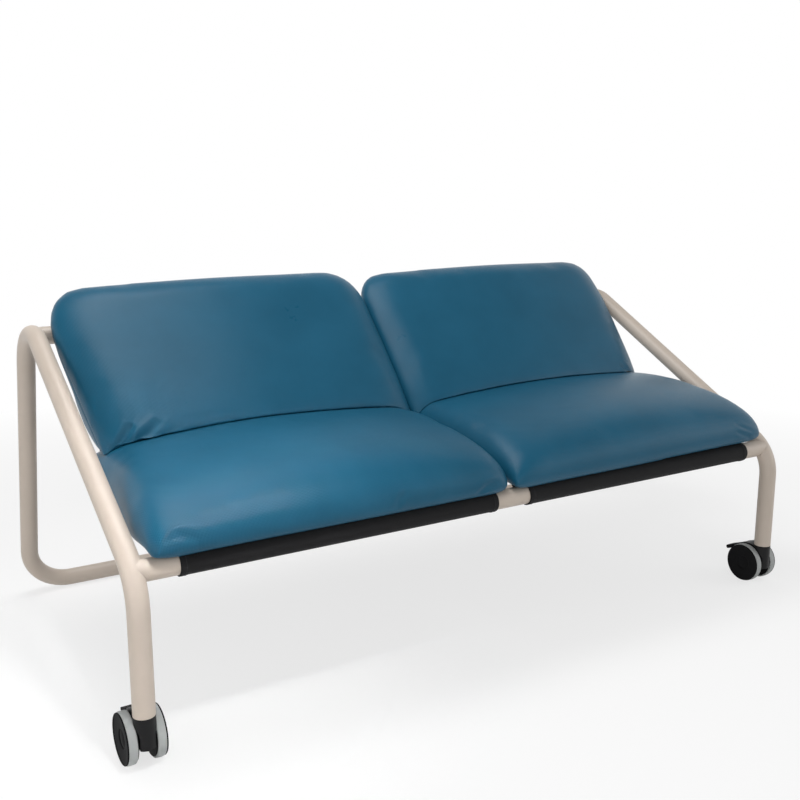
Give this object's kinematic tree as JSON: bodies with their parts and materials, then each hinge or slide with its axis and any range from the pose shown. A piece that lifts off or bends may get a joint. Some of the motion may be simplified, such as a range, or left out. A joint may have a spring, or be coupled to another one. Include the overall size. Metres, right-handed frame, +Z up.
{
  "type": "office sofa",
  "caption": "Office sofa with a bent steel tube frame on braked swivel casters and a rear floor rail, fabric slings between cross rails, and loose seat and back cushions.",
  "frame": {"origin": "on the floor, under the middle of the overall box", "axes": "+X to the right of someone who faces the sofa, +Y to its back, +Z up"},
  "size_m": [1.5982, 0.906, 0.7456],
  "materials": {
    "frame_paint": "satin warm beige powder coat",
    "upholstery": "blue leatherette with a fine embossed weave",
    "sling_fabric": "matt black webbing cloth",
    "filling": "soft foam",
    "tread": "matt grey soft tread",
    "caster_plastic": "black moulded nylon",
    "glide_plastic": "black moulded plastic",
    "steel": "bare turned steel"
  },
  "bodies": {
    "frame": {"front_rail": "frame_paint", "top_rail": "frame_paint", "rear_bow": "frame_paint", "left_side_tube": "frame_paint", "left_joint_spigot": "steel", "left_glide": "glide_plastic", "left_sling": "sling_fabric", "left_seat_cover": "upholstery", "left_seat_foam": "filling", "left_back_cover": "upholstery", "left_back_foam": "filling", "left_caster_socket": "caster_plastic", "right_side_tube": "frame_paint", "right_joint_spigot": "steel", "right_glide": "glide_plastic", "right_sling": "sling_fabric", "right_seat_cover": "upholstery", "right_seat_foam": "filling", "right_back_cover": "upholstery", "right_back_foam": "filling", "right_caster_socket": "caster_plastic"},
    "left_caster": {"left_caster_housing": "caster_plastic", "left_caster_stem": "steel", "left_caster_axle": "steel", "left_axle_clips": "steel", "left_brake_pin": "steel"},
    "left_outer_wheel": {"left_outer_wheel_hub": "caster_plastic", "left_outer_wheel_tread": "tread", "left_outer_wheel_cap": "caster_plastic"},
    "left_inner_wheel": {"left_inner_wheel_hub": "caster_plastic", "left_inner_wheel_tread": "tread", "left_inner_wheel_cap": "caster_plastic"},
    "left_brake": {"left_brake_lever": "caster_plastic"},
    "right_caster": {"right_caster_housing": "caster_plastic", "right_caster_stem": "steel", "right_caster_axle": "steel", "right_axle_clips": "steel", "right_brake_pin": "steel"},
    "right_outer_wheel": {"right_outer_wheel_hub": "caster_plastic", "right_outer_wheel_tread": "tread", "right_outer_wheel_cap": "caster_plastic"},
    "right_inner_wheel": {"right_inner_wheel_hub": "caster_plastic", "right_inner_wheel_tread": "tread", "right_inner_wheel_cap": "caster_plastic"},
    "right_brake": {"right_brake_lever": "caster_plastic"}
  },
  "joints": [
    {"name": "left_caster_swivel", "type": "hinge", "parent": "frame", "child": "left_caster", "pos_m": [-0.765, -0.43398, 0.094], "axis": [0, 0, 1], "continuous": true},
    {"name": "left_outer_wheel_spin", "type": "hinge", "parent": "left_caster", "child": "left_outer_wheel", "pos_m": [-0.765, -0.40498, 0.045], "axis": [1, 0, 0], "continuous": true},
    {"name": "left_inner_wheel_spin", "type": "hinge", "parent": "left_caster", "child": "left_inner_wheel", "pos_m": [-0.765, -0.40498, 0.045], "axis": [1, 0, 0], "continuous": true},
    {"name": "left_brake_press", "type": "hinge", "parent": "left_caster", "child": "left_brake", "pos_m": [-0.765, -0.37998, 0.078], "axis": [-1, 0, 0], "range_deg": [0, 14]},
    {"name": "right_caster_swivel", "type": "hinge", "parent": "frame", "child": "right_caster", "pos_m": [0.765, -0.43398, 0.094], "axis": [0, 0, 1], "continuous": true},
    {"name": "right_outer_wheel_spin", "type": "hinge", "parent": "right_caster", "child": "right_outer_wheel", "pos_m": [0.765, -0.40498, 0.045], "axis": [1, 0, 0], "continuous": true},
    {"name": "right_inner_wheel_spin", "type": "hinge", "parent": "right_caster", "child": "right_inner_wheel", "pos_m": [0.765, -0.40498, 0.045], "axis": [1, 0, 0], "continuous": true},
    {"name": "right_brake_press", "type": "hinge", "parent": "right_caster", "child": "right_brake", "pos_m": [0.765, -0.37998, 0.078], "axis": [-1, 0, 0], "range_deg": [0, 14]}
  ]
}
